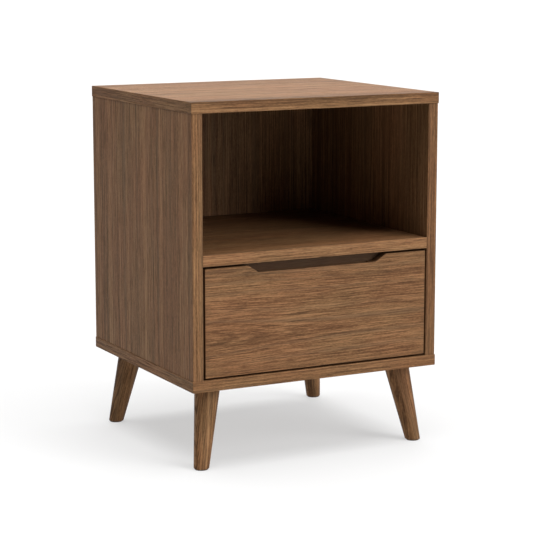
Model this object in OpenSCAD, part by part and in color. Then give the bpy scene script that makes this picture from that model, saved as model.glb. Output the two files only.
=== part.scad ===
// Nightstand with one inset drawer, an open compartment above it and four splayed, tapered legs.
// Millimetres, +Z up. The origin is on the floor under the middle of the body, and the front faces -Y.
// Boards are named as seen by a person who stands in front: left is -X and right is +X.

/* [Overall size] */
// Width over the top and bottom boards
overall_width = 450; // [375:1:560]
// Depth from the front edge of the top board to the back
overall_depth = 400; // [330:1:500]
// Height from the floor to the top face
overall_height = 590; // [480:1:720]

/* [Carcass boards] */
// Thickness of the top, bottom, side and shelf boards
board_thickness = 18; // [15:0.1:22]
// How far the top and bottom boards stand out past the side boards and past their front edges
board_overhang = 1; // [0:0.1:3]
// Height of the opening that the drawer fills, between the bottom board and the shelf
drawer_opening_height = 182; // [150:1:220]
// Thickness of the back panel
back_thickness = 5; // [3:0.1:8]
// Width of the rebate that the back panel sits in
rebate_width = 9; // [6:0.1:12]
// Gap round the edge of the back panel in its rebate
back_edge_gap = 0.5; // [0.2:0.1:1.5]

/* [Legs] */
// Height of the legs with their pads, from the floor to the bottom board
leg_height = 132; // [105:1:180]
// Diameter of a leg where it meets the bottom board
leg_top_diameter = 42; // [32:0.5:52]
// Diameter of a leg at its foot
leg_foot_diameter = 25; // [20:0.5:32]
// Distance from the edges of the bottom board to the middle of the top of a leg
leg_inset = 48; // [40:1:70]
// How far a foot stands out from the top of its leg, sideways and again front to back
leg_splay = 22; // [1:0.5:26]
// Distance from the edge of a foot to the edge of the felt pad under it
pad_margin = 2; // [1:0.1:4]
// Thickness of the felt pad under each leg
pad_thickness = 1.5; // [1:0.1:5]

/* [Leg fixings] */
// Diameter of the hanger bolt that joins a leg to the bottom board
bolt_diameter = 8; // [6:1:9]
// Length of the hanger bolt inside the leg
bolt_length_in_leg = 35; // [20:1:45]
// Outside diameter of the threaded insert in the bottom board
insert_diameter = 12; // [11:0.5:13]
// Length of the threaded insert
insert_length = 9; // [7:0.5:9]
// Wood between the sunken lower end of the insert and the underside of the board
insert_cover = 0.5; // [0.2:0.1:0.8]

/* [Drawer front] */
// Thickness of the drawer front
front_thickness = 18; // [15:0.1:22]
// Gap between the drawer front and the carcass, all the way round
front_gap = 3.5; // [2:0.1:4]
// Width of the finger notch along its floor
notch_floor_width = 216; // [120:1:230]
// Length of each sloping end of the notch, measured along the front
notch_end_length = 18.5; // [12:0.5:25]
// Depth of the finger notch below the top edge of the drawer front
notch_depth = 12; // [8:0.5:20]
// Radius between the notch floor and its sloping ends
notch_floor_radius = 14; // [2:0.5:16]
// Radius where the sloping ends meet the top edge
notch_shoulder_radius = 2.5; // [1:0.5:5]
// Thickness of the lip that the fingers pull on
lip_thickness = 9; // [5:0.5:10]
// Depth of the finger groove below the notch floor, behind the lip
groove_depth = 18; // [10:1:25]
// Distance from each end of the notch floor to the end of the finger groove
groove_end_inset = 8; // [4:1:20]

/* [Drawer box] */
// Thickness of the sides, back and inner front of the drawer box
box_thickness = 12; // [10:0.1:15]
// Height of the drawer sides and back
box_height = 150; // [120:1:160]
// Gap between the bottom board and the drawer box
box_floor_gap = 12; // [5:1:18]
// Gap between the back of the drawer box and the back panel
box_rear_gap = 21; // [10:1:40]
// Thickness of the drawer bottom
drawer_bottom_thickness = 5; // [3:0.1:6]
// Height of the drawer bottom above the lower edge of the box
drawer_bottom_rise = 10; // [6:1:15]
// How deep the drawer bottom sits in its grooves
bottom_groove_depth = 6; // [3:0.1:7]
// Gap between the drawer bottom and the walls of its grooves
bottom_groove_gap = 0.2; // [0.1:0.1:0.5]

/* [Drawer slides] */
// Height of the cabinet member of each slide
slide_height = 45; // [45:1:50]
// Thickness of a slide, from the side board to the drawer box
slide_thickness = 12.7; // [12.7:0.1:14]
// Thickness of the steel of the slide members
slide_steel = 1.5; // [1.2:0.1:1.6]
// Diameter of the bearing balls
ball_diameter = 3.5; // [3:0.1:4.2]
// Depth of the raceways in the flanges that the balls roll between
raceway_depth = 0.45; // [0.3:0.05:0.5]
// Distance from one ball to the next
ball_pitch = 17; // [12:1:25]
// Thickness of the strip that holds the balls
cage_thickness = 0.6; // [0.5:0.1:0.7]
// Play between the moving layers of a slide
slide_play = 0.2; // [0.15:0.01:0.25]
// Distance from the back of the drawer front to the front end of the slides
slide_front_gap = 2; // [1:0.5:5]
// Distance from the rear end of the slides to the back of the drawer box
slide_rear_gap = 3; // [1:0.5:8]
// Length of the lever that releases the drawer, from its pivot to its tip
lever_length = 40; // [30:1:45]
// Diameter of the holes in the middle member that a screwdriver reaches the side board's screws through
access_hole_diameter = 9; // [7:0.5:11]
// Length of the spare screw slots in the drawer member
slot_length = 14; // [8:1:20]
// Thickness of the release lever
lever_thickness = 2.5; // [2:0.1:3]
// Distance from the middle of the slide forward to the lever's pivot
lever_offset = 20; // [15:1:30]
// Diameter of the rivet that the release lever turns on
rivet_diameter = 4; // [3:0.5:5]

/* [Dowels and screws] */
// Diameter of the carcass dowels
dowel_diameter = 8; // [6:0.5:8]
// Length of the carcass dowels
dowel_length = 30; // [25:1:36]
// How deep a carcass dowel goes into the face of a board
dowel_face_depth = 11; // [8:0.5:12]
// Distance from the front and back of the side boards to the outer dowels
dowel_inset = 50; // [30:1:60]
// Diameter of the drawer box dowels
box_dowel_diameter = 6; // [5:0.5:6]
// Length of the drawer box dowels
box_dowel_length = 26; // [20:1:30]
// How deep a drawer box dowel goes into the face of a drawer side
box_dowel_face_depth = 7; // [5:0.5:8]
// Clearance round dowels, bolts, inserts and screws, and past their ends
fixing_gap = 0.1; // [0.05:0.01:0.2]
// Diameter of the shank of the screws in the back panel and in the slides
small_screw_diameter = 3; // [2.5:0.1:3.5]
// Diameter of the countersunk heads of those screws
small_head_diameter = 5.6; // [5:0.1:6]
// Length of the back panel screws
back_screw_length = 16; // [12:1:20]
// Distance from the top and bottom boards to the nearest screws in the sides of the back panel
back_screw_inset = 50; // [30:1:80]
// Length of the screws that hold the slides to the side boards
cabinet_screw_length = 13; // [10:1:14]
// Length of the screws that hold the slides to the drawer box
drawer_screw_length = 9; // [8:0.5:10]
// Diameter of the shank of the drawer front screws
front_screw_diameter = 4; // [3.5:0.1:4.5]
// How deep the drawer front screws go into the drawer front
front_screw_depth = 12; // [9:0.5:13]

/* [Hidden] */
$fn = 48;
cut = 1;            // how far a cutter runs past the face that it opens
LEFT = -1;
RIGHT = 1;
FRONT = -1;
BACK = 1;
SIDES = [LEFT, RIGHT];
WOOD = [0.47, 0.33, 0.23];
BOX_WOOD = [0.72, 0.58, 0.42];
DOWEL_WOOD = [0.82, 0.69, 0.5];
STEEL = [0.72, 0.73, 0.75];
BRIGHT_STEEL = [0.85, 0.86, 0.88];
BLACK_PLASTIC = [0.1, 0.1, 0.11];
FELT = [0.2, 0.16, 0.13];

// Carcass places
half_width = overall_width / 2;
half_depth = overall_depth / 2;
bottom_top = leg_height + board_thickness;
shelf_underside = bottom_top + drawer_opening_height;
shelf_top = shelf_underside + board_thickness;
top_underside = overall_height - board_thickness;
side_outer = half_width - board_overhang;
side_inner = side_outer - board_thickness;
side_middle = (side_outer + side_inner) / 2;
side_front = -half_depth + board_overhang;
back_face = half_depth - back_thickness;

// Drawer places
front_back = side_front + front_thickness;
front_half = side_inner - front_gap;
front_low = bottom_top + front_gap;
front_high = shelf_underside - front_gap;
notch_floor = front_high - notch_depth;
box_half = side_inner - slide_thickness;
box_inner_half = box_half - box_thickness;
box_low = bottom_top + box_floor_gap;
box_high = box_low + box_height;
box_rear = back_face - box_rear_gap;
inner_front_back = front_back + box_thickness;
box_back_front = box_rear - box_thickness;
bottom_low = box_low + drawer_bottom_rise;

// Slide places: u runs from the side board, where it is 0, to the drawer box, and v is measured up and
// down from the middle of the slide
slide_z = (box_low + box_high) / 2;
slide_front = front_back + slide_front_gap;
slide_rear = box_rear - slide_rear_gap;
slide_length = slide_rear - slide_front;
outer_cage_u = slide_steel + slide_play;
middle_u = outer_cage_u + cage_thickness + slide_play;
inner_cage_u = middle_u + slide_steel + slide_play;
drawer_flange_u = inner_cage_u + cage_thickness + slide_play;
drawer_web_u = slide_thickness - slide_steel;
raceway_radius = ball_diameter / 2 + fixing_gap;
slide_flange_gap = 2 * (raceway_radius - raceway_depth);
raceway_margin = 0.7;   // steel left on each side of a raceway
ball_u = drawer_flange_u + raceway_margin + raceway_radius;
flange_reach = ball_u + raceway_radius + raceway_margin;
outer_v = slide_height / 2;
middle_v = outer_v - slide_steel - slide_flange_gap;
drawer_v = middle_v - slide_steel - slide_flange_gap;
outer_ball_v = middle_v + slide_flange_gap / 2;
inner_ball_v = drawer_v + slide_flange_gap / 2;
balls_in_row = floor(slide_length / 2 / ball_pitch);
cage_length = balls_in_row * ball_pitch;
cage_front = slide_front + (slide_length - cage_length) / 2;
lever_u = drawer_web_u - lever_thickness - 0.5;
lever_hub_radius = rivet_diameter / 2 + 3;
lever_arm_height = 6;
lever_tip_radius = 4;
lever_y = (slide_front + slide_rear) / 2 - lever_offset;
rivet_head_thickness = 0.8;
slide_screw_inset = 35;
slide_screw_places = spread(slide_front + slide_screw_inset, slide_rear - slide_screw_inset, 3);

// Leg places
leg_drop = leg_height - pad_thickness;
leg_length = norm([leg_splay, leg_splay, leg_drop]);
leg_tilt = acos(leg_drop / leg_length);
insert_recess = (insert_cover + insert_diameter / 2 * sin(leg_tilt)) / cos(leg_tilt);
leg_spare = 20;     // how far the turned blank runs past both of its saw cuts
CORNERS = [[LEFT, FRONT], [RIGHT, FRONT], [LEFT, BACK], [RIGHT, BACK]];

// count numbers, evenly spaced from first to last
function spread(first, last, count) = [for (i = [0:count - 1]) first + (last - first) * i / (count - 1)];
function arc(centre, radius, from, to, steps = 8) =
    [for (i = [0:steps]) let (a = from + (to - from) * i / steps) centre + radius * [cos(a), sin(a)]];
function mirrored(points) = [for (i = [len(points) - 1:-1:0]) [-points[i][0], points[i][1]]];
function leg_top(corner) =
    [corner[0] * (half_width - leg_inset), corner[1] * (half_depth - leg_inset), leg_height];
function leg_foot(corner) = leg_top(corner) + [corner[0] * leg_splay, corner[1] * leg_splay, -leg_drop];

// A box from one corner to the opposite one
module block(low, high) {
    translate(low)
        cube(high - low);
}

// Draws its children with +Z turned to point from one place to another
module aim(from, to) {
    way = to - from;
    translate(from)
        rotate([0, acos(way[2] / norm(way)), atan2(way[1], way[0])])
            children();
}

// A round bar between two places
module bar(from, to, diameter) {
    aim(from, to)
        cylinder(h = norm(to - from), d = diameter);
}

// The hole for a round bar, with clearance round it and past its ends
module bar_hole(from, to, diameter) {
    way = (to - from) / norm(to - from);
    bar(from - way * fixing_gap * 5, to + way * fixing_gap * 5, diameter + 2 * fixing_gap);
}

// A countersunk screw whose flat head faces back from its tip
module flat_screw(head, way, length) {
    cone = (small_head_diameter - small_screw_diameter) / 2;
    aim(head, head + way) {
        difference() {
            cylinder(h = cone, d1 = small_head_diameter, d2 = small_screw_diameter);
            driver_recess(small_head_diameter * 0.45, cone * 0.5);
        }
        translate([0, 0, cone])
            cylinder(h = length - cone, d = small_screw_diameter);
    }
}

// The cross-shaped recess in a screw head
module driver_recess(width, depth) {
    for (turn = [0, 90])
        rotate(turn)
            translate([-width / 2, -width / 8, -cut])
                cube([width, width / 4, depth + cut]);
}

// The countersunk hole for such a screw
module flat_screw_hole(head, way, length) {
    cone = (small_head_diameter - small_screw_diameter) / 2;
    aim(head, head + way) {
        translate([0, 0, -cut])
            cylinder(h = cut + fixing_gap, d = small_head_diameter + 2 * fixing_gap);
        translate([0, 0, fixing_gap])
            cylinder(h = cone, d1 = small_head_diameter + 2 * fixing_gap,
                     d2 = small_screw_diameter + 2 * fixing_gap);
        cylinder(h = length + 5 * fixing_gap, d = small_screw_diameter + 2 * fixing_gap);
    }
}

// Dowels: each is [its end in the face of one board, its end in the edge of the other]
dowel_rows = spread(side_front + dowel_inset, half_depth - dowel_inset, 3);
dowel_edge_depth = dowel_length - dowel_face_depth;
carcass_dowel_ends = [
    for (side = SIDES, y = dowel_rows) each [
        [[side * side_middle, y, top_underside + dowel_face_depth],
         [side * side_middle, y, top_underside - dowel_edge_depth]],
        [[side * side_middle, y, bottom_top - dowel_face_depth],
         [side * side_middle, y, bottom_top + dowel_edge_depth]],
        [[side * (side_inner + dowel_face_depth), y, shelf_underside + board_thickness / 2],
         [side * (side_inner - dowel_edge_depth), y, shelf_underside + board_thickness / 2]]
    ]
];
module carcass_dowel_holes() {
    for (ends = carcass_dowel_ends)
        bar_hole(ends[0], ends[1], dowel_diameter);
}

// Back panel screws: the middle of each head, on the outer face of the panel
rebate_middle = rebate_width / 2;
back_screw_heads = concat(
    [for (side = SIDES, z = spread(bottom_top + back_screw_inset, top_underside - back_screw_inset, 3))
        [side * (side_inner + rebate_middle), half_depth, z]],
    [for (side = SIDES, z = [bottom_top - rebate_middle, shelf_underside + board_thickness / 2,
                             top_underside + rebate_middle])
        [side * side_inner / 2, half_depth, z]]
);
module back_screw_holes() {
    for (head = back_screw_heads)
        flat_screw_hole(head, [0, -1, 0], back_screw_length);
}

// The rebate for the back panel, cut in the boards round it
module back_rebate() {
    block([-side_inner - rebate_width, back_face, bottom_top - rebate_width],
          [side_inner + rebate_width, half_depth + cut, top_underside + rebate_width]);
}

// Screws that hold the slides, from the middle of each slide's web
module cabinet_screw_holes(side) {
    for (y = slide_screw_places)
        flat_screw_hole([side * (side_inner - slide_steel), y, slide_z], [side, 0, 0], cabinet_screw_length);
}
module drawer_screw_holes(side) {
    for (y = slide_screw_places)
        flat_screw_hole([side * (box_half + slide_steel), y, slide_z], [-side, 0, 0], drawer_screw_length);
}

// ---- Carcass ----

module top_panel() {
    color(WOOD)
        difference() {
            block([-half_width, -half_depth, top_underside], [half_width, half_depth, overall_height]);
            back_rebate();
            carcass_dowel_holes();
            back_screw_holes();
        }
}

module bottom_panel() {
    color(WOOD)
        difference() {
            block([-half_width, -half_depth, leg_height], [half_width, half_depth, bottom_top]);
            back_rebate();
            carcass_dowel_holes();
            back_screw_holes();
            for (corner = CORNERS)
                leg_insert_hole(corner);
        }
}

module side_panel(side) {
    inner = side * side_inner;
    outer = side * side_outer;
    color(WOOD)
        difference() {
            block([min(inner, outer), side_front, bottom_top],
                  [max(inner, outer), half_depth, top_underside]);
            back_rebate();
            carcass_dowel_holes();
            back_screw_holes();
            cabinet_screw_holes(side);
        }
}

module shelf_panel() {
    color(WOOD)
        difference() {
            block([-side_inner, side_front, shelf_underside], [side_inner, back_face, shelf_top]);
            carcass_dowel_holes();
            back_screw_holes();
        }
}

module back_panel() {
    reach = rebate_width - back_edge_gap;
    color(WOOD)
        difference() {
            block([-side_inner - reach, back_face, bottom_top - reach],
                  [side_inner + reach, half_depth, top_underside + reach]);
            back_screw_holes();
        }
}

module carcass_dowels() {
    color(DOWEL_WOOD)
        for (ends = carcass_dowel_ends)
            bar(ends[0], ends[1], dowel_diameter);
}

module back_panel_screws() {
    color(BRIGHT_STEEL)
        for (head = back_screw_heads)
            flat_screw(head, [0, -1, 0], back_screw_length);
}

// ---- Legs ----

// A point on a leg's axis, a distance up from the middle of its top
function on_leg_axis(corner, rise) =
    let (way = leg_top(corner) - leg_foot(corner)) leg_top(corner) + way / norm(way) * rise;

bolt_rise = insert_recess + insert_length;

module leg_insert_hole(corner) {
    bar(on_leg_axis(corner, -insert_diameter), on_leg_axis(corner, bolt_rise + 5 * fixing_gap),
        insert_diameter + 2 * fixing_gap);
}

module leg(corner) {
    taper = (leg_top_diameter - leg_foot_diameter) / leg_length;
    color(WOOD)
        difference() {
            intersection() {
                aim(on_leg_axis(corner, -leg_length - leg_spare), on_leg_axis(corner, leg_spare))
                    cylinder(h = leg_length + 2 * leg_spare, d1 = leg_foot_diameter - taper * leg_spare,
                             d2 = leg_top_diameter + taper * leg_spare);
                block([-overall_width, -overall_depth, pad_thickness],
                      [overall_width, overall_depth, leg_height]);
            }
            bar(on_leg_axis(corner, -bolt_length_in_leg - 5 * fixing_gap), on_leg_axis(corner, leg_spare),
                bolt_diameter + 2 * fixing_gap);
        }
}

module foot_pad(corner) {
    foot = leg_foot(corner);
    color(FELT)
        translate([foot[0], foot[1], 0])
            cylinder(h = pad_thickness, d = leg_foot_diameter - 2 * pad_margin);
}

module leg_hanger_bolts() {
    color(BRIGHT_STEEL)
        for (corner = CORNERS)
            bar(on_leg_axis(corner, -bolt_length_in_leg), on_leg_axis(corner, bolt_rise), bolt_diameter);
}

module leg_threaded_inserts() {
    color(STEEL)
        for (corner = CORNERS)
            difference() {
                bar(on_leg_axis(corner, insert_recess), on_leg_axis(corner, bolt_rise), insert_diameter);
                bar(on_leg_axis(corner, -cut), on_leg_axis(corner, bolt_rise + cut),
                    bolt_diameter + 2 * fixing_gap);
            }
}

// ---- Drawer ----

// Outline of the drawer front, seen from the front: a rectangle with a notch that has sloping ends
notch_floor_half = notch_floor_width / 2;
notch_top_half = notch_floor_half + notch_end_length;
notch_slope = atan2(notch_depth, notch_end_length);
notch_right_end = concat(
    arc([notch_top_half + notch_shoulder_radius * tan(notch_slope / 2), front_high - notch_shoulder_radius],
        notch_shoulder_radius, 90, 90 + notch_slope, 4),
    arc([notch_floor_half - notch_floor_radius * tan(notch_slope / 2), notch_floor + notch_floor_radius],
        notch_floor_radius, notch_slope - 90, -90)
);
front_outline = concat(
    [[-front_half, front_low], [front_half, front_low], [front_half, front_high]],
    notch_right_end,
    mirrored(notch_right_end),
    [[-front_half, front_high]]
);

// Box dowels: each is [its end in the face of a side, its end in the inner front or the back]
box_dowel_rows = spread(bottom_low + 24, box_high - 18, 3);
box_dowel_edge_depth = box_dowel_length - box_dowel_face_depth;
box_dowel_ends = [
    for (side = SIDES, y = [front_back + box_thickness / 2, box_rear - box_thickness / 2], z = box_dowel_rows)
        [[side * (box_inner_half + box_dowel_face_depth), y, z],
         [side * (box_inner_half - box_dowel_edge_depth), y, z]]
];
module box_dowel_holes() {
    for (ends = box_dowel_ends)
        bar_hole(ends[0], ends[1], box_dowel_diameter);
}

// Front screws: the middle of the seat of each head, on the back of the inner front, between the dowels
front_screw_length = box_thickness + front_screw_depth;
front_screw_half_span = notch_floor_half + 18;
front_screw_heads = [
    for (side = SIDES, i = [0, 1])
        [side * front_screw_half_span, inner_front_back, (box_dowel_rows[i] + box_dowel_rows[i + 1]) / 2]
];
module front_screw_holes() {
    for (head = front_screw_heads)
        bar_hole(head + [0, cut, 0], head - [0, front_screw_length, 0], front_screw_diameter);
}

module drawer_front() {
    groove_half = notch_floor_half - groove_end_inset;
    color(WOOD)
        difference() {
            translate([0, front_back, 0])
                rotate([90, 0, 0])
                    linear_extrude(front_thickness)
                        polygon(front_outline);
            block([-groove_half, side_front + lip_thickness, notch_floor - groove_depth],
                  [groove_half, front_back + cut, notch_floor + cut]);
            front_screw_holes();
        }
}

// The edge of the drawer bottom, where it sits in its grooves, widened by a gap to cut the grooves
module bottom_board(gap) {
    reach = bottom_groove_depth - bottom_groove_gap + gap;
    block([-box_inner_half - reach, inner_front_back - reach, bottom_low - gap],
          [box_inner_half + reach, box_back_front + reach, bottom_low + drawer_bottom_thickness + gap]);
}

module drawer_inner_front() {
    color(BOX_WOOD)
        difference() {
            block([-box_inner_half, front_back, box_low], [box_inner_half, inner_front_back, front_high]);
            bottom_board(bottom_groove_gap);
            box_dowel_holes();
            front_screw_holes();
        }
}

module drawer_side(side) {
    inner = side * box_inner_half;
    outer = side * box_half;
    color(BOX_WOOD)
        difference() {
            block([min(inner, outer), front_back, box_low], [max(inner, outer), box_rear, box_high]);
            bottom_board(bottom_groove_gap);
            box_dowel_holes();
            drawer_screw_holes(side);
        }
}

module drawer_back() {
    color(BOX_WOOD)
        difference() {
            block([-box_inner_half, box_back_front, box_low], [box_inner_half, box_rear, box_high]);
            bottom_board(bottom_groove_gap);
            box_dowel_holes();
        }
}

module drawer_bottom() {
    color(BOX_WOOD)
        bottom_board(0);
}

module drawer_box_dowels() {
    color(DOWEL_WOOD)
        for (ends = box_dowel_ends)
            bar(ends[0], ends[1], box_dowel_diameter);
}

module drawer_front_screws() {
    head_diameter = front_screw_diameter * 2;
    head_height = front_screw_diameter * 0.6;
    color(BRIGHT_STEEL)
        for (head = front_screw_heads) {
            aim(head + [0, head_height, 0], head)
                difference() {
                    cylinder(h = head_height, d1 = head_diameter * 0.8, d2 = head_diameter);
                    driver_recess(head_diameter * 0.5, head_height * 0.6);
                }
            bar(head, head - [0, front_screw_length, 0], front_screw_diameter);
        }
}

// ---- Slides, drawn on the left and mirrored for the right ----

module on_side(side) {
    if (side == RIGHT)
        mirror([1, 0, 0])
            children();
    else
        children();
}

// A channel seen from its front end: a web and two flanges that run from one u to another
module channel(web_u, web_thickness, flange_from, flange_to, outside_v, flange_thickness, from_y, to_y) {
    translate([-side_inner, to_y, slide_z])
        rotate([90, 0, 0])
            linear_extrude(to_y - from_y)
                difference() {
                    union() {
                        translate([web_u, -outside_v])
                            square([web_thickness, 2 * outside_v]);
                        for (v = [-outside_v, outside_v - flange_thickness])
                            translate([flange_from, v])
                                square([flange_to - flange_from, flange_thickness]);
                    }
                    for (v = [-outer_ball_v, outer_ball_v, -inner_ball_v, inner_ball_v])
                        translate([ball_u, v])
                            circle(raceway_radius);
                }
}

module slide_cabinet_member(side) {
    color(STEEL)
        difference() {
            on_side(side)
                channel(0, slide_steel, 0, flange_reach, outer_v, slide_steel, slide_front, slide_rear);
            cabinet_screw_holes(side);
        }
}

module slide_middle_member(side) {
    color(STEEL)
        difference() {
            on_side(side)
                channel(middle_u, slide_steel, middle_u, flange_reach, middle_v, slide_steel,
                        slide_front, slide_rear);
            for (y = slide_screw_places)
                bar([side * (side_inner - middle_u + cut), y, slide_z],
                    [side * (side_inner - middle_u - slide_steel - cut), y, slide_z], access_hole_diameter);
        }
}

module slide_drawer_member(side) {
    color(STEEL) {
        difference() {
            on_side(side)
                channel(drawer_web_u, slide_steel, drawer_flange_u, slide_thickness, drawer_v, slide_steel,
                        slide_front, slide_rear);
            drawer_screw_holes(side);
            spare_slots(side);
        }
        on_side(side)
            lever_rivet();
    }
}

// Long slots in the drawer member, one beside each outer screw, with round ends
module spare_slots(side) {
    web = side * (side_inner - drawer_web_u - slide_steel / 2);
    half_slot = (slot_length - small_screw_diameter) / 2;
    for (y = [slide_screw_places[0] + slot_length * 2, slide_screw_places[2] - slot_length * 2]) {
        for (end = [-half_slot, half_slot])
            bar([web - slide_steel, y + end, slide_z], [web + slide_steel, y + end, slide_z],
                small_screw_diameter);
        block([web - slide_steel, y - half_slot, slide_z - small_screw_diameter / 2],
              [web + slide_steel, y + half_slot, slide_z + small_screw_diameter / 2]);
    }
}

// The rivet that holds the release lever, headed on its free end
module lever_rivet() {
    head_u = lever_u - slide_play - rivet_head_thickness;
    translate([-side_inner + head_u, lever_y, slide_z])
        rotate([0, 90, 0]) {
            cylinder(h = rivet_head_thickness, d = rivet_diameter * 1.5);
            cylinder(h = drawer_web_u + slide_steel / 2 - head_u, d = rivet_diameter);
        }
}

module slide_release_lever(side) {
    color(BLACK_PLASTIC)
        on_side(side)
            translate([-side_inner + lever_u, lever_y, slide_z])
                rotate([90, 0, 90])
                    linear_extrude(lever_thickness)
                        difference() {
                            union() {
                                circle(lever_hub_radius);
                                translate([-lever_length + lever_tip_radius, -lever_arm_height / 2])
                                    square([lever_length - lever_tip_radius, lever_arm_height]);
                                translate([-lever_length + lever_tip_radius, 0])
                                    circle(lever_tip_radius);
                            }
                            circle(rivet_diameter / 2 + fixing_gap);
                        }
}

// The places of the balls in the two rows of one cage
function ball_places(ball_v) = [
    for (row = [-ball_v, ball_v], i = [0:balls_in_row - 1])
        [-side_inner + ball_u, cage_front + (i + 0.5) * ball_pitch, slide_z + row]
];

module slide_cage(side, cage_u, ball_v) {
    outside_v = ball_v + cage_thickness / 2;
    color(BRIGHT_STEEL)
        on_side(side)
            difference() {
                translate([-side_inner, cage_front + cage_length, slide_z])
                    rotate([90, 0, 0])
                        linear_extrude(cage_length) {
                            translate([cage_u, -outside_v])
                                square([cage_thickness, 2 * outside_v]);
                            for (v = [-outside_v, outside_v - cage_thickness])
                                translate([cage_u, v])
                                    square([flange_reach - cage_u, cage_thickness]);
                        }
                for (place = ball_places(ball_v))
                    translate(place - [0, 0, cage_thickness])
                        cylinder(h = 2 * cage_thickness, r = raceway_radius, $fn = 24);
            }
}

module slide_balls(side, ball_v) {
    color(BRIGHT_STEEL)
        on_side(side)
            for (place = ball_places(ball_v))
                translate(place)
                    sphere(d = ball_diameter, $fn = 24);
}

module cabinet_slide_screws() {
    color(BRIGHT_STEEL)
        for (side = SIDES, y = slide_screw_places)
            flat_screw([side * (side_inner - slide_steel), y, slide_z], [side, 0, 0], cabinet_screw_length);
}

module drawer_slide_screws() {
    color(BRIGHT_STEEL)
        for (side = SIDES, y = slide_screw_places)
            flat_screw([side * (box_half + slide_steel), y, slide_z], [-side, 0, 0], drawer_screw_length);
}

top_panel();
bottom_panel();
side_panel(LEFT);  // left_side_panel
side_panel(RIGHT);  // right_side_panel
shelf_panel();
back_panel();
carcass_dowels();
back_panel_screws();
leg([LEFT, FRONT]);  // leg_front_left
leg([RIGHT, FRONT]);  // leg_front_right
leg([LEFT, BACK]);  // leg_back_left
leg([RIGHT, BACK]);  // leg_back_right
foot_pad([LEFT, FRONT]);  // foot_pad_front_left
foot_pad([RIGHT, FRONT]);  // foot_pad_front_right
foot_pad([LEFT, BACK]);  // foot_pad_back_left
foot_pad([RIGHT, BACK]);  // foot_pad_back_right
leg_hanger_bolts();
leg_threaded_inserts();
drawer_front();
drawer_inner_front();
drawer_side(LEFT);  // drawer_left_side
drawer_side(RIGHT);  // drawer_right_side
drawer_back();
drawer_bottom();
drawer_box_dowels();
drawer_front_screws();
slide_cabinet_member(LEFT);  // left_slide_cabinet_member
slide_cage(LEFT, outer_cage_u, outer_ball_v);  // left_slide_outer_cage
slide_balls(LEFT, outer_ball_v);  // left_slide_outer_balls
slide_middle_member(LEFT);  // left_slide_middle_member
slide_cage(LEFT, inner_cage_u, inner_ball_v);  // left_slide_inner_cage
slide_balls(LEFT, inner_ball_v);  // left_slide_inner_balls
slide_drawer_member(LEFT);  // left_slide_drawer_member
slide_release_lever(LEFT);  // left_slide_release_lever
slide_cabinet_member(RIGHT);  // right_slide_cabinet_member
slide_cage(RIGHT, outer_cage_u, outer_ball_v);  // right_slide_outer_cage
slide_balls(RIGHT, outer_ball_v);  // right_slide_outer_balls
slide_middle_member(RIGHT);  // right_slide_middle_member
slide_cage(RIGHT, inner_cage_u, inner_ball_v);  // right_slide_inner_cage
slide_balls(RIGHT, inner_ball_v);  // right_slide_inner_balls
slide_drawer_member(RIGHT);  // right_slide_drawer_member
slide_release_lever(RIGHT);  // right_slide_release_lever
cabinet_slide_screws();
drawer_slide_screws();
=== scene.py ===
"""Walnut nightstand: finishes, fine detail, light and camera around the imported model.

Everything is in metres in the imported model's frame: +X to the right, +Y to the back, +Z up, the floor at 0.
"""
import logging
import math
from dataclasses import dataclass, field
from enum import Enum
from typing import TypeAlias

import bmesh
import bpy
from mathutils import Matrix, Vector


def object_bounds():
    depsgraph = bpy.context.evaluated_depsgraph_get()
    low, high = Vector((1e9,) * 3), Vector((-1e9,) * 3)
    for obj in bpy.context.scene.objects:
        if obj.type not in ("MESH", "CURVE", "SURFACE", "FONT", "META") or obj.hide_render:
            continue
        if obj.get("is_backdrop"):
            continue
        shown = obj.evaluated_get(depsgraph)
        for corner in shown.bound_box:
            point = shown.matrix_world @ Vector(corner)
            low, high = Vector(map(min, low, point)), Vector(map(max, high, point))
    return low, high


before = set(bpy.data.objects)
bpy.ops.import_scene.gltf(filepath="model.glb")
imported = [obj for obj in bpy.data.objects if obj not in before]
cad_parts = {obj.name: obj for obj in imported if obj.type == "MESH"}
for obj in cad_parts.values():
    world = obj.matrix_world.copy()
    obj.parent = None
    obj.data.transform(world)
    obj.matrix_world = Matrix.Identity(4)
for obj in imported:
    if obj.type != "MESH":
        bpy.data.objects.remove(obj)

CAD_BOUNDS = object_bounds()
LOG = logging.getLogger("nightstand")

Colour: TypeAlias = tuple[float, float, float, float]
Place: TypeAlias = tuple[float, float, float]
Feed: TypeAlias = "Wire | float | Place | Colour"


def colour(red: float, green: float, blue: float) -> Colour:
    """Turn three screen values into a linear colour.

    Args:
        red: The red part, from 0 to 255.
        green: The green part, from 0 to 255.
        blue: The blue part, from 0 to 255.

    Returns:
        The colour, opaque.
    """
    def linear(value: float) -> float:
        """Take one screen value to linear light."""
        share = value / 255
        return share / 12.92 if share <= 0.04045 else ((share + 0.055) / 1.055) ** 2.4

    return (linear(red), linear(green), linear(blue), 1.0)


def toned(tint: Colour, factor: float) -> Colour:
    """Make a colour lighter or darker by a factor."""
    return tuple(factor * part for part in tint[:3]) + (1.0,)


# ---------------------------------------------------------------- shader sums


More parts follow.
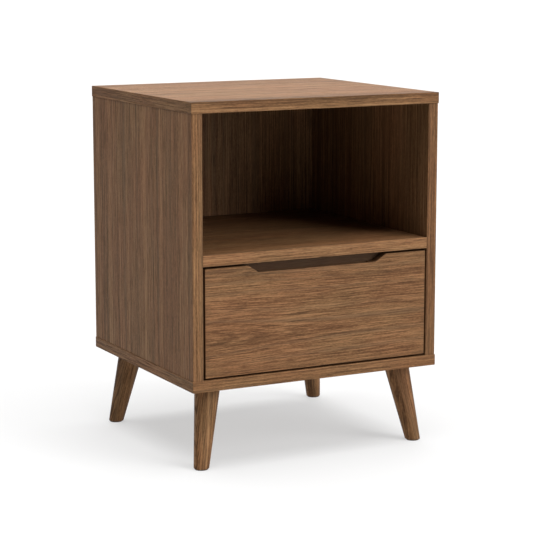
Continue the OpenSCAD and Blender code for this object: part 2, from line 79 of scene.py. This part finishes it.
class Wire:
    """One output of a node, which adds nodes as it is reckoned with."""

    def __init__(self, graph: "Graph", socket: bpy.types.NodeSocket) -> None:
        """Hold the output and the graph that it belongs to."""
        self.graph = graph
        self.socket = socket

    def __add__(self, other: Feed) -> "Wire":
        """Add."""
        return self.graph.sum("ADD", self, other)

    __radd__ = __add__

    def __sub__(self, other: Feed) -> "Wire":
        """Take away."""
        return self.graph.sum("SUBTRACT", self, other)

    def __rsub__(self, other: Feed) -> "Wire":
        """Take this away from the other."""
        return self.graph.sum("SUBTRACT", other, self)

    def __mul__(self, other: Feed) -> "Wire":
        """Multiply."""
        return self.graph.sum("MULTIPLY", self, other)

    __rmul__ = __mul__

    def __abs__(self) -> "Wire":
        """Drop the sign."""
        return self.graph.sum("ABSOLUTE", self, 0.0)

    def __round__(self) -> "Wire":
        """Go to the nearest whole number."""
        return self.graph.sum("ROUND", self, 0.0)

    def root(self) -> "Wire":
        """Take the square root."""
        return self.graph.sum("SQRT", self, 0.0)

    def step(self, low: float, high: float) -> "Wire":
        """Rise smoothly from 0 at low to 1 at high."""
        return self.graph.node("ShaderNodeMapRange", {"interpolation_type": "SMOOTHSTEP"},
                               {0: self, 1: low, 2: high, 3: 0.0, 4: 1.0})[0]

    def dot(self, other: Feed) -> "Wire":
        """Take the dot product with another vector."""
        return self.graph.node("ShaderNodeVectorMath", {"operation": "DOT_PRODUCT"}, {0: self, 1: other})[1]


class Outputs:
    """The outputs of a node, by name or number."""

    def __init__(self, graph: "Graph", node: bpy.types.Node) -> None:
        """Hold the node and its graph."""
        self.graph = graph
        self.made = node

    def __getitem__(self, name: str | int) -> Wire:
        """Give one output, ready for sums."""
        return Wire(self.graph, self.made.outputs[name])


class Graph:
    """The node tree of a material or of the world, filled by Python calls."""

    def __init__(self, tree: bpy.types.NodeTree) -> None:
        """Hold the tree."""
        self.tree = tree

    def node(self, kind: str, settings: dict[str, object], feeds: dict[str | int, Feed]) -> Outputs:
        """Add a node.

        Args:
            kind: The name of the node's type.
            settings: What is set on the node first. "stops" holds a ramp's places and colours.
            feeds: A value or a wire for each socket, by name or number.

        Returns:
            The node's outputs.
        """
        made = self.tree.nodes.new(kind)
        for name, value in settings.items():
            if name == "stops":
                self.fill_ramp(made.color_ramp, value)
            else:
                setattr(made, name, value)
        for name, feed in feeds.items():
            if isinstance(feed, Wire):
                self.tree.links.new(feed.socket, made.inputs[name])
            else:
                made.inputs[name].default_value = feed
        return Outputs(self, made)

    @staticmethod
    def fill_ramp(ramp: bpy.types.ColorRamp, stops: list[tuple[float, Colour]]) -> None:
        """Give a ramp its stops.

        Args:
            ramp: The ramp, with the two stops that a new one has.
            stops: Each stop's place from 0 to 1 and its colour.
        """
        while len(ramp.elements) < len(stops):
            ramp.elements.new(1.0)
        for element, (place, tint) in zip(ramp.elements, stops):
            element.position = place
            element.color = tint

    def sum(self, operation: str, left: Feed, right: Feed) -> Wire:
        """Add a Math or Vector Math node for one operation.

        Args:
            operation: The node's operation.
            left: The first value.
            right: The second value.

        Returns:
            The result, which is a vector if either value is one.
        """
        if not (self.is_vector(left) or self.is_vector(right)):
            return self.node("ShaderNodeMath", {"operation": operation}, {0: left, 1: right})[0]
        if operation == "MULTIPLY" and self.is_vector(left) != self.is_vector(right):
            vector, factor = (left, right) if self.is_vector(left) else (right, left)
            return self.node("ShaderNodeVectorMath", {"operation": "SCALE"}, {0: vector, 3: factor})[0]
        return self.node("ShaderNodeVectorMath", {"operation": operation}, {0: left, 1: right})[0]

    @staticmethod
    def is_vector(feed: Feed) -> bool:
        """Say whether a value has three parts."""
        return feed.socket.type in {"VECTOR", "RGBA"} if isinstance(feed, Wire) else isinstance(feed, tuple)

    def parts(self, vector: Wire) -> tuple[Wire, Wire, Wire]:
        """Split a vector into X, Y and Z."""
        split = self.node("ShaderNodeSeparateXYZ", {}, {0: vector})
        return split[0], split[1], split[2]

    def joined(self, x: Feed, y: Feed, z: Feed) -> Wire:
        """Join X, Y and Z into a vector."""
        return self.node("ShaderNodeCombineXYZ", {}, {0: x, 1: y, 2: z})[0]

    def mix(self, share: Feed, first: Feed, second: Feed) -> Wire:
        """Blend from the first colour, on socket 6, to the second, on socket 7, by a share."""
        return self.node("ShaderNodeMix", {"data_type": "RGBA"}, {0: share, 6: first, 7: second})[2]

    def noise(self, at: Wire, detail: float, roughness: float) -> Wire:
        """Give cloudy noise from 0 to 1 whose blots are about 1 unit across."""
        return self.node("ShaderNodeTexNoise", {"noise_dimensions": "3D"},
                         {"Vector": at, "Scale": 1.0, "Detail": detail, "Roughness": roughness})[0]

    def ramp(self, share: Wire, stops: list[tuple[float, Colour]]) -> Wire:
        """Turn a value into a colour along a ramp."""
        return self.node("ShaderNodeValToRGB", {"stops": stops}, {0: share})[0]

    def here(self) -> Wire:
        """Give the place on the piece, in metres."""
        return self.node("ShaderNodeTexCoord", {}, {})["Object"]

    def bump(self, height: Wire, strength: float, distance: float) -> Wire:
        """Turn a height from 0 to 1 into a tilted normal."""
        return self.node("ShaderNodeBump", {}, {"Strength": strength, "Distance": distance,
                                                "Height": height})["Normal"]


def new_material(name: str) -> tuple[bpy.types.Material, Graph]:
    """Start an empty material with nodes.

    Args:
        name: The material's name.

    Returns:
        The material and its graph.
    """
    material = bpy.data.materials.new(name)
    material.use_nodes = True
    material.node_tree.nodes.clear()
    return material, Graph(material.node_tree)


def close_material(graph: Graph, feeds: dict[str | int, Feed]) -> None:
    """End a material with one shader and its output."""
    shader = graph.node("ShaderNodeBsdfPrincipled", {}, feeds)
    graph.node("ShaderNodeOutputMaterial", {}, {"Surface": shader["BSDF"]})


# ---------------------------------------------------------------- finishes


class Axis(Enum):
    """A direction that grain can run in."""

    X = 0
    Y = 1
    Z = 2


@dataclass(frozen=True)
class Lay:
    """How the grain runs on a veneered board.

    Attributes:
        on_x: The grain's direction on the faces that look along X.
        on_y: The same for the faces that look along Y.
        on_z: The same for the faces that look along Z.
        seed: Where in the flitch this board's veneer was cut.
        heart: Where the middle of the figure lies across the grain.
        depth: How far below the veneer the pith of the tree was, which rounds the arches.
        taper: How quickly the rings widen along the grain: more makes shorter arches.
        flame_end: Where along the grain the arches stop.
        flame_width: How far from the heart the arches reach.
        reach: How long and straight the streaks run, from 1 for lively figure.
        banding: How strong the broad bands of colour are.
        shade: How much lighter the board is, or darker if below 0; on the shelf, the drawer front and its
            inner front this is painted shade.
        painted_front_light: Painted light: how much lighter the faces towards the front are than the rest,
            which leaves the other faces in painted shade.
    """

    on_x: Axis
    on_y: Axis
    on_z: Axis
    seed: float
    heart: float = -0.6
    depth: float = 0.04
    taper: float = 0.015
    flame_end: float = 9.0
    flame_width: float = 0.3
    reach: float = 2.0
    banding: float = 0.2
    shade: float = 0.0
    painted_front_light: float = 0.0


@dataclass(frozen=True)
class Marks:
    """One kind of mark in the wood, from broad bands to fine pores.

    Attributes:
        lengthwise: How many blots there are in a metre along the grain.
        crosswise: How many there are in a metre across it.
        shift: Keeps one kind of mark from following another.
        detail: How many finer layers the blots have.
        roughness: How strong the finer layers are.
        weight: How much they change the tone, or how far they push the grain aside, in metres.
    """

    lengthwise: float
    crosswise: float
    shift: float
    detail: float
    roughness: float
    weight: float = 1.0


SWAY = Marks(2.6, 6.0, 11.0, 2.0, 0.5, weight=0.02)
RIPPLE = Marks(14.0, 22.0, 17.0, 2.0, 0.5, weight=0.0035)
BANDS = Marks(1.2, 48.0, 21.0, 3.0, 0.6)
LINES = Marks(4.2, 430.0, 3.0, 2.0, 0.6, weight=0.34)
DASHES = Marks(24.0, 850.0, 31.0, 2.0, 0.7, weight=0.4)
TICKS = Marks(190.0, 900.0, 71.0, 1.0, 0.5, weight=0.18)
FIBRES = Marks(70.0, 1600.0, 41.0, 2.0, 0.6, weight=0.08)
PORES = Marks(28.0, 1000.0, 51.0, 1.0, 0.5, weight=0.5)
GREY_BANDS = Marks(1.1, 95.0, 61.0, 3.0, 0.6, weight=0.5)
CAST = Marks(5.0, 13.0, 81.0, 3.0, 0.55)

ARCH_EASE = 0.15  # How gently the arches run out, in metres along the grain.
HEART_CORE = 0.01  # How far from the heart the arches stay full, in metres.
SHEET_DRIFT = 6.0  # How quickly the figure changes across a sheet.
TURNED_DRIFT = 60.0  # How quickly it changes through a turned piece.
FACE_CUTS = (1.37, 2.91, 4.53)  # Sets the sheets on a board's faces apart.
WARM_CAST = (1.02, 0.975, 0.95)
COOL_CAST = (0.98, 1.025, 1.0)


@dataclass(frozen=True)
class WoodTones:
    """The colours of a wood.

    Attributes:
        light: The early growth.
        warm: Between the two, on the early side.
        middle: Between the two, on the late side.
        dark: The late growth.
        grey: The cooler bands.
        pore: The open pores.
    """

    light: Colour
    warm: Colour
    middle: Colour
    dark: Colour
    grey: Colour
    pore: Colour

    def stops(self) -> list[tuple[float, Colour]]:
        """Give the growth tones' places on the scale that the marks add up to."""
        return [(0.40, self.dark), (0.47, self.middle), (0.53, self.warm), (0.60, self.light)]


WALNUT_TONES = WoodTones(
    light=colour(137, 102, 71), warm=colour(121, 87, 59), middle=colour(103, 73, 48),
    dark=colour(80, 55, 36), grey=colour(92, 71, 52), pore=colour(52, 36, 24),
)
BOX_TONES = WoodTones(
    light=colour(124, 96, 70), warm=colour(114, 86, 61), middle=colour(100, 75, 54),
    dark=colour(80, 59, 43), grey=colour(94, 76, 60), pore=colour(58, 43, 33),
)
BEECH_TONES = WoodTones(
    light=colour(214, 184, 146), warm=colour(208, 172, 130), middle=colour(196, 158, 116),
    dark=colour(176, 136, 98), grey=colour(190, 160, 126), pore=colour(140, 104, 72),
)


@dataclass(frozen=True)
class Wood:
    """Sliced or turned wood under a clear coat.

    Attributes:
        name: The finish's name.
        tones: Its colours.
        roughness: How matt the coat is.
        gloss: How strongly the coat reflects.
        relief: How deep the open pores lie, in metres.
    """

    name: str
    tones: WoodTones
    roughness: float = 0.46
    gloss: float = 0.06
    relief: float = 0.00012

    def veneer(self, lay: Lay) -> bpy.types.Material:
        """Make the veneer of one board, with its own figure on each face.

        Args:
            lay: How the grain runs on the board.

        Returns:
            The material.
        """
        material, graph = new_material(f"{self.name}_{lay.seed:g}")
        place = graph.parts(graph.here())
        normal = graph.node("ShaderNodeNewGeometry", {}, {})["True Normal"]
        outward = [round(part) for part in graph.parts(normal)]
        faces_x = abs(outward[0])
        faces_z = abs(outward[2]) * (1.0 - faces_x)
        faces_y = 1.0 - faces_x - faces_z
        along: Feed = 0.0
        across: Feed = 0.0
        for facing, normal_axis, grain in ((faces_x, Axis.X, lay.on_x), (faces_y, Axis.Y, lay.on_y),
                                           (faces_z, Axis.Z, lay.on_z)):
            other = next(axis for axis in Axis if axis not in (normal_axis, grain))
            along = facing * place[grain.value] + along
            across = facing * place[other.value] + across
        sheet = sum(part * cut for part, cut in zip(outward, FACE_CUTS)) + lay.seed
        # Painted light: the faces towards the front are made lighter than the board's other faces.
        self.finish(graph, along, across, sheet, lay, faces_y * lay.painted_front_light + lay.shade)
        return material

    def turned(self, foot: Vector, top: Vector, seed: float) -> bpy.types.Material:
        """Make solid wood whose grain runs along a turned piece.

        Args:
            foot: The middle of the piece's lower end.
            top: The middle of its upper end.
            seed: Where in the plank this piece was cut.

        Returns:
            The material.
        """
        material, graph = new_material(f"{self.name}_turned_{seed:g}")
        axis = (top - foot).normalized()
        side = axis.cross(Vector((0.0, 1.0, 0.0))).normalized()
        face = side.cross(axis).normalized()
        offset = graph.here() - tuple(foot)
        along = offset.dot(tuple(axis))
        across = offset.dot(tuple(side))
        through = offset.dot(tuple(face))
        lay = Lay(Axis.Z, Axis.Z, Axis.Z, seed, heart=0.03, depth=0.05, taper=0.03, banding=0.7)
        self.finish(graph, along, across, through * TURNED_DRIFT + seed, lay, lay.shade)
        return material

    def finish(self, graph: Graph, along: Wire, across: Wire, sheet: Wire, lay: Lay, shade: Feed) -> None:
        """Draw the figure, pores and coat of the wood.

        Args:
            graph: The material's graph.
            along: The place along the grain, in metres.
            across: The place across the grain, in metres.
            sheet: A number that differs between sheets of veneer.
            lay: The board's figure.
            shade: How much lighter the wood is here, which on some boards is painted light and shade.
        """
        tones = self.tones
        calm = 1 / lay.reach

        def marks(kind: Marks, place: Wire, slow: float = 1.0) -> Wire:
            """Give one kind of mark, from 0 to 1, at a place across the grain."""
            at = graph.joined(along * (kind.lengthwise * slow), place * kind.crosswise, sheet + kind.shift)
            return graph.noise(at, kind.detail, kind.roughness)

        sway = marks(SWAY, across, calm) - 0.5
        ripple = marks(RIPPLE, across, calm) - 0.5
        away = across + sway * (SWAY.weight * calm) + ripple * (RIPPLE.weight * calm) - lay.heart
        arched = graph.node("ShaderNodeMath", {"operation": "SMOOTH_MIN"},
                            {0: along, 1: lay.flame_end, 2: ARCH_EASE})[0]
        flame = 1.0 - abs(away).step(HEART_CORE, lay.flame_width)
        ring = (away * away + lay.depth ** 2).root() + arched * flame * lay.taper
        sheet = sheet + across * SHEET_DRIFT
        bands, lines, dashes = marks(BANDS, ring, calm), marks(LINES, ring, calm), marks(DASHES, away, calm)
        ticks, fibres = marks(TICKS, away), marks(FIBRES, away)
        pores = marks(PORES, away).step(0.54, 0.62)
        tone = ((bands - 0.5) * lay.banding + lines * LINES.weight + dashes * DASHES.weight
                + ticks * TICKS.weight + fibres * FIBRES.weight + shade)
        greyed = marks(GREY_BANDS, ring, calm).step(0.50, 0.70)
        wood = graph.mix(greyed * GREY_BANDS.weight, graph.ramp(tone, tones.stops()), tones.grey)
        cast = marks(CAST, across).step(0.36, 0.64)
        wood = graph.mix(cast, wood * WARM_CAST, wood * COOL_CAST)
        wood = graph.mix(pores * PORES.weight, wood, tones.pore)
        close_material(graph, {
            "Base Color": wood,
            "Roughness": self.roughness + (fibres - 0.5) * 0.12 + pores * 0.15,
            "Normal": graph.bump(fibres * 0.5 + (1.0 - pores) * 0.5, 0.5, self.relief),
            "Specular IOR Level": self.gloss,
        })


@dataclass(frozen=True)
class Plating:
    """Bare or plated steel with fine drawn lines.

    Attributes:
        name: The finish's name.
        tint: The metal's colour.
        roughness: How dull it is.
        lines: The direction of the drawn lines.
    """

    name: str
    tint: Colour
    roughness: float
    lines: Axis = Axis.Y

    def material(self) -> bpy.types.Material:
        """Make the material.

        Returns:
            The material.
        """
        material, graph = new_material(self.name)
        stretch = [900.0, 900.0, 900.0]
        stretch[self.lines.value] = 18.0
        here = graph.here()
        drawn = graph.noise(here * tuple(stretch), 3.0, 0.6)
        cloudy = graph.noise(here * 60.0, 3.0, 0.6)
        dull = graph.mix(cloudy.step(0.4, 0.7) * 0.35, self.tint, toned(self.tint, 0.72))
        close_material(graph, {
            "Base Color": dull,
            "Metallic": 1.0,
            "Roughness": self.roughness + (drawn - 0.5) * 0.22 + (cloudy - 0.5) * 0.12,
            "Normal": graph.bump(drawn, 0.35, 0.00003),
        })
        return material


@dataclass(frozen=True)
class Moulded:
    """Moulded plastic with a fine spark-eroded texture.

    Attributes:
        name: The finish's name.
        tint: The plastic's colour.
        roughness: How dull it is.
    """

    name: str
    tint: Colour
    roughness: float

    def material(self) -> bpy.types.Material:
        """Make the material.

        Returns:
            The material.
        """
        material, graph = new_material(self.name)
        grain = graph.noise(graph.here() * 2600.0, 2.0, 0.6)
        blotch = graph.noise(graph.here() * 90.0, 2.0, 0.5)
        tint = graph.mix(blotch.step(0.35, 0.7) * 0.5, self.tint, toned(self.tint, 1.5))
        close_material(graph, {
            "Base Color": tint,
            "Roughness": self.roughness + (grain - 0.5) * 0.2,
            "Normal": graph.bump(grain, 0.4, 0.00006),
        })
        return material


@dataclass(frozen=True)
class Felted:
    """Pressed felt, matted from short fibres.

    Attributes:
        name: The finish's name.
        tint: The felt's colour.
    """

    name: str
    tint: Colour

    def material(self) -> bpy.types.Material:
        """Make the material.

        Returns:
            The material.
        """
        material, graph = new_material(self.name)
        here = graph.here()
        mat = graph.noise(here * 1500.0, 4.0, 0.7)
        tufts = graph.noise(here * 260.0, 3.0, 0.6)
        shade = graph.mix(mat.step(0.35, 0.65), toned(self.tint, 0.55), self.tint)
        close_material(graph, {
            "Base Color": graph.mix(tufts.step(0.5, 0.75) * 0.4, shade, toned(self.tint, 1.6)),
            "Roughness": 0.92 + (mat - 0.5) * 0.1,
            "Normal": graph.bump(mat * 0.6 + tufts * 0.4, 0.8, 0.0003),
            "Sheen Weight": 0.3,
        })
        return material


WALNUT = Wood("walnut", WALNUT_TONES)
BOX_WOOD = Wood("drawer_box_veneer", BOX_TONES, roughness=0.5)
BEECH = Wood("beech", BEECH_TONES, roughness=0.6)
ZINC = Plating("zinc_plate", (0.36, 0.37, 0.39, 1.0), 0.38)
SCREW_ZINC = Plating("screw_zinc", (0.33, 0.32, 0.30, 1.0), 0.36, Axis.Z)
BALL_STEEL = Plating("ball_steel", (0.55, 0.55, 0.56, 1.0), 0.16)
BLACK_PLASTIC = Moulded("black_plastic", (0.02, 0.02, 0.022, 1.0), 0.5)
FELT = Felted("felt", (0.05, 0.036, 0.028, 1.0))


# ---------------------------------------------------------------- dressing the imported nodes

WELD_REACH = 1e-6  # Points closer than this are one, in metres.
RIM_REACH = 1e-4  # A leg's end is made of the points this close to its level, in metres.


def dress(name: str, material: bpy.types.Material) -> bpy.types.Object:
    """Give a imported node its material.

    Args:
        name: The node's name.
        material: Its new material.

    Returns:
        The node's object.
    """
    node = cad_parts[name]
    for slot in node.material_slots:
        slot.material = material
    LOG.info("dressed %s in %s", name, material.name)
    return node


def ease_edges(node: bpy.types.Object, radius: float, segments: int = 2, angle: float = 35.0) -> None:
    """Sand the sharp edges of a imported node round.

    Args:
        node: The node's object.
        radius: How far the rounding reaches, in metres.
        segments: How many facets it takes.
        angle: Edges blunter than this, in degrees, stay as they are.
    """
    weld = node.modifiers.new("weld", "WELD")
    weld.merge_threshold = WELD_REACH
    bevel = node.modifiers.new("eased_edges", "BEVEL")
    bevel.width = radius
    bevel.segments = segments
    bevel.limit_method = "ANGLE"
    bevel.angle_limit = math.radians(angle)
    bevel.use_clamp_overlap = False
    bevel.harden_normals = True


@dataclass
class Carcass:
    """The box of the nightstand: its boards, and the fastenings that hold them.

    Attributes:
        eased: How far the boards' edges are sanded round, in metres.
        plated: The fastenings of plated steel.
        lays: How the grain runs on each board.
    """

    eased: float = 0.0006
    plated: tuple[str, ...] = ("back_panel_screws", "cabinet_slide_screws", "leg_hanger_bolts",
                               "leg_threaded_inserts")
    lays: dict[str, Lay] = field(default_factory=lambda: {
        "top_panel": Lay(Axis.Y, Axis.X, Axis.X, seed=1.0, reach=1.8, banding=0.54, shade=0.02),
        "bottom_panel": Lay(Axis.Y, Axis.X, Axis.X, seed=8.0, reach=1.5),
        "left_side_panel": Lay(Axis.Z, Axis.Z, Axis.Y, seed=14.0, reach=3.0, banding=0.36, shade=0.01),
        "right_side_panel": Lay(Axis.Z, Axis.Z, Axis.Y, seed=25.0, reach=3.0, banding=0.3, shade=-0.02),
        # The shelf is painted darker, painted shade under the top, and its front edge lighter, painted light
        # where the light falls on it.
        "shelf_panel": Lay(Axis.Y, Axis.X, Axis.X, seed=33.0, reach=1.6, shade=-0.03, painted_front_light=0.06),
        "back_panel": Lay(Axis.Z, Axis.Z, Axis.X, seed=41.0, reach=3.0),
    })

    def build(self) -> None:
        """Dress the boards and their fastenings."""
        for name, lay in self.lays.items():
            ease_edges(dress(name, WALNUT.veneer(lay)), self.eased)
        dress("carcass_dowels", BEECH.veneer(Lay(Axis.Z, Axis.Z, Axis.X, seed=50.0)))
        screws = SCREW_ZINC.material()
        for name in self.plated:
            dress(name, screws)


@dataclass
class Legs:
    """Four turned legs with felt under their feet.

    Attributes:
        eased: How far the rims are sanded round, in metres.
        sharp_angle: Edges blunter than this, in degrees, stay as they are.
        seeds: Where in the plank each corner's leg was cut.
    """

    eased: float = 0.0012
    sharp_angle: float = 50.0
    seeds: dict[str, float] = field(default_factory=lambda: {
        "front_left": 60.0, "front_right": 67.0, "back_left": 74.0, "back_right": 81.0,
    })

    def build(self) -> None:
        """Dress the legs and pads."""
        felt = FELT.material()
        for corner, seed in self.seeds.items():
            name = f"leg_{corner}"
            foot, top = self.end(name, lowest=True), self.end(name, lowest=False)
            ease_edges(dress(name, WALNUT.turned(foot, top, seed)), self.eased, segments=3,
                       angle=self.sharp_angle)
            dress(f"foot_pad_{corner}", felt)

    @staticmethod
    def end(name: str, lowest: bool) -> Vector:
        """Find the middle of one end of a leg.

        Args:
            name: The leg's node.
            lowest: True for the foot and False for the top.

        Returns:
            The middle of that end.
        """
        points = [vertex.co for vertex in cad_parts[name].data.vertices]
        level = (min if lowest else max)(point.z for point in points)
        rim = [point for point in points if abs(point.z - level) < RIM_REACH]
        middle = [(min(point[i] for point in rim) + max(point[i] for point in rim)) / 2 for i in range(2)]
        return Vector((middle[0], middle[1], level))


@dataclass
class Drawer:
    """The drawer: its front, its box and what holds them together.

    Attributes:
        eased: How far the boards' edges are sanded round, in metres.
        front: How the grain runs on the front, whose edges and notch faces are painted darker than its face
            as painted shade in the gaps and the notch.
        plated: The fastenings of plated steel.
        box: How the grain runs on each board of the box.
    """

    eased: float = 0.0006
    # The front's edges and notch faces are painted darker than its face: painted shade for the gaps around it
    # and the notch.
    front: Lay = Lay(
        Axis.Z, Axis.X, Axis.X, seed=77.0, heart=0.214, depth=0.016, taper=0.08, flame_end=-0.03,
        flame_width=0.08, reach=1.2, banding=0.12, shade=-0.3, painted_front_light=0.29,
    )
    plated: tuple[str, ...] = ("drawer_front_screws", "drawer_slide_screws")
    box: dict[str, Lay] = field(default_factory=lambda: {
        # The inner front is painted darker: painted shade where it shows through the finger notch.
        "drawer_inner_front": Lay(Axis.Z, Axis.X, Axis.X, seed=81.0, shade=-0.16),
        "drawer_left_side": Lay(Axis.Y, Axis.Z, Axis.Y, seed=85.0),
        "drawer_right_side": Lay(Axis.Y, Axis.Z, Axis.Y, seed=89.0),
        "drawer_back": Lay(Axis.Z, Axis.X, Axis.X, seed=93.0),
        "drawer_bottom": Lay(Axis.Y, Axis.X, Axis.X, seed=97.0, heart=0.02, depth=0.08, taper=0.03),
    })

    def build(self) -> None:
        """Dress the front, the box and the fastenings."""
        ease_edges(dress("drawer_front", WALNUT.veneer(self.front)), self.eased)
        for name, lay in self.box.items():
            ease_edges(dress(name, BOX_WOOD.veneer(lay)), self.eased)
        dress("drawer_box_dowels", BEECH.veneer(Lay(Axis.X, Axis.X, Axis.X, seed=101.0)))
        screws = SCREW_ZINC.material()
        for name in self.plated:
            dress(name, screws)


@dataclass
class Slides:
    """The two ball-bearing slides that carry the drawer.

    Attributes:
        eased: How far the steel's edges are rounded, in metres.
        sides: The two sides that have a slide.
    """

    eased: float = 0.00025
    sides: tuple[str, ...] = ("left", "right")

    def build(self) -> None:
        """Dress the members, cages, balls and levers of both slides."""
        zinc, balls, plastic = ZINC.material(), BALL_STEEL.material(), BLACK_PLASTIC.material()
        for side in self.sides:
            for part in ("cabinet_member", "middle_member", "drawer_member"):
                ease_edges(dress(f"{side}_slide_{part}", zinc), self.eased)
            for part in ("outer_cage", "inner_cage"):
                dress(f"{side}_slide_{part}", zinc)
            for part in ("outer_balls", "inner_balls"):
                dress(f"{side}_slide_{part}", balls)
            ease_edges(dress(f"{side}_slide_release_lever", plastic), self.eased)


# ---------------------------------------------------------------- studio


@dataclass(frozen=True)
class SoftLight:
    """A wide, far light of even strength, like a big soft box seen from the nightstand.

    Attributes:
        name: The light's name.
        bearing: Where it stands, in degrees from straight ahead of the drawer towards the right.
        height: How far above the horizon it stands, in degrees.
        width: How wide it looks from the nightstand, in degrees.
        strength: What a white sheet facing it would shine with.
        distance: Where its holder stands, in metres, which doesn't change the light.
    """

    name: str
    bearing: float
    height: float
    width: float
    strength: float
    distance: float = 4.0

    def hang(self) -> None:
        """Put the light up, facing the nightstand."""
        light = bpy.data.lights.new(self.name, "SUN")
        light.energy = math.pi * self.strength
        light.angle = math.radians(self.width)
        bearing, height = math.radians(self.bearing), math.radians(self.height)
        towards = Vector((math.sin(bearing) * math.cos(height), -math.cos(bearing) * math.cos(height),
                          math.sin(height)))
        holder = bpy.data.objects.new(self.name, light)
        holder.location = towards * self.distance
        holder.rotation_euler = towards.to_track_quat("Z", "Y").to_euler()
        bpy.context.scene.collection.objects.link(holder)
        LOG.info("hung %s", self.name)


@dataclass
class Studio:
    """A plain pale floor that glows softly, soft light and the camera.

    Attributes:
        floor_half: Half of the floor's width, in metres.
        floor_shade: How pale the floor is.
        floor_mottle: How far its shade strays from that.
        floor_glow: How strongly it glows.
        surround: How strongly the room lights the nightstand.
        camera_place: Where the camera stands, in metres.
        camera_turn: How it is turned, in degrees.
        lens: Its focal length, in millimetres.
        sensor: The width of its sensor, in millimetres.
        lights: The lights.
    """

    floor_half: float = 60.0
    floor_shade: float = 0.24
    floor_mottle: float = 0.02
    floor_glow: float = 0.52
    surround: float = 0.08
    camera_place: Place = (-1.4374, -2.7677, 0.8202)
    camera_turn: Place = (80.301, 0.0, -27.603)
    lens: float = 125.13
    sensor: float = 36.0
    lights: tuple[SoftLight, ...] = (
        SoftLight("key_light", bearing=36.0, height=28.0, width=36.0, strength=0.8),
        SoftLight("fill_light", bearing=22.0, height=5.0, width=20.0, strength=0.2),
        SoftLight("top_light", bearing=0.0, height=88.0, width=60.0, strength=1.82),
        SoftLight("rim_light", bearing=152.0, height=28.0, width=45.0, strength=0.17),
    )

    def build(self) -> None:
        """Lay the floor, light the room and stand the camera."""
        self.lay_floor()
        self.light_room()
        for light in self.lights:
            light.hang()
        self.stand_camera()

    def lay_floor(self) -> None:
        """Lay a wide pale floor, faintly mottled."""
        mesh = bpy.data.meshes.new("floor")
        shape = bmesh.new()
        bmesh.ops.create_grid(shape, x_segments=8, y_segments=8, size=self.floor_half)
        shape.to_mesh(mesh)
        shape.free()
        floor = bpy.data.objects.new("floor", mesh)
        bpy.context.scene.collection.objects.link(floor)
        material, graph = new_material("floor_sheet")
        mottle = graph.noise(graph.here() * 3.0, 3.0, 0.5)
        white = (1.0, 1.0, 1.0, 1.0)
        close_material(graph, {
            "Base Color": graph.mix(mottle, toned(white, self.floor_shade * (1 - self.floor_mottle)),
                                    toned(white, self.floor_shade * (1 + self.floor_mottle))),
            "Roughness": 0.8 + (mottle - 0.5) * 0.1,
            "Specular IOR Level": 0.1,
            "Emission Color": white,
            "Emission Strength": self.floor_glow,
        })
        mesh.materials.append(material)
        floor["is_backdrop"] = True

    def light_room(self) -> None:
        """Fill the room with a little even light, in front of a white surround."""
        world = bpy.data.worlds.new("room")
        world.use_nodes = True
        world.node_tree.nodes.clear()
        graph = Graph(world.node_tree)
        seen = graph.node("ShaderNodeLightPath", {}, {})["Is Camera Ray"]
        light = graph.node("ShaderNodeBackground", {}, {
            "Color": (1.0, 1.0, 1.0, 1.0), "Strength": seen * (1.0 - self.surround) + self.surround})
        graph.node("ShaderNodeOutputWorld", {}, {"Surface": light[0]})
        bpy.context.scene.world = world
        bpy.context.scene.view_settings.view_transform = "Standard"

    def stand_camera(self) -> None:
        """Stand the camera where the front, the left side and the top all show."""
        camera = bpy.data.cameras.new("camera")
        camera.lens = self.lens
        camera.sensor_width = self.sensor
        holder = bpy.data.objects.new("camera", camera)
        holder.location = self.camera_place
        holder.rotation_euler = tuple(math.radians(angle) for angle in self.camera_turn)
        bpy.context.scene.collection.objects.link(holder)
        bpy.context.scene.camera = holder


def write_sizes() -> None:
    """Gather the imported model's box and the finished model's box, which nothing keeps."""
    def plain(bounds: object) -> list[list[float]]:
        """Turn corners into plain lists."""
        return [[float(part) for part in corner] for corner in bounds]

    {"cad": plain(CAD_BOUNDS), "visual": plain(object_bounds())}


def main() -> None:
    """Build the nightstand from its carcass to its slides, and then the studio round it."""
    logging.basicConfig(level=logging.INFO, format="%(message)s")
    for part in (Carcass(), Legs(), Drawer(), Slides(), Studio()):
        part.build()
        LOG.info("built %s", type(part).__name__)
    write_sizes()


if __name__ == "__main__":
    main()
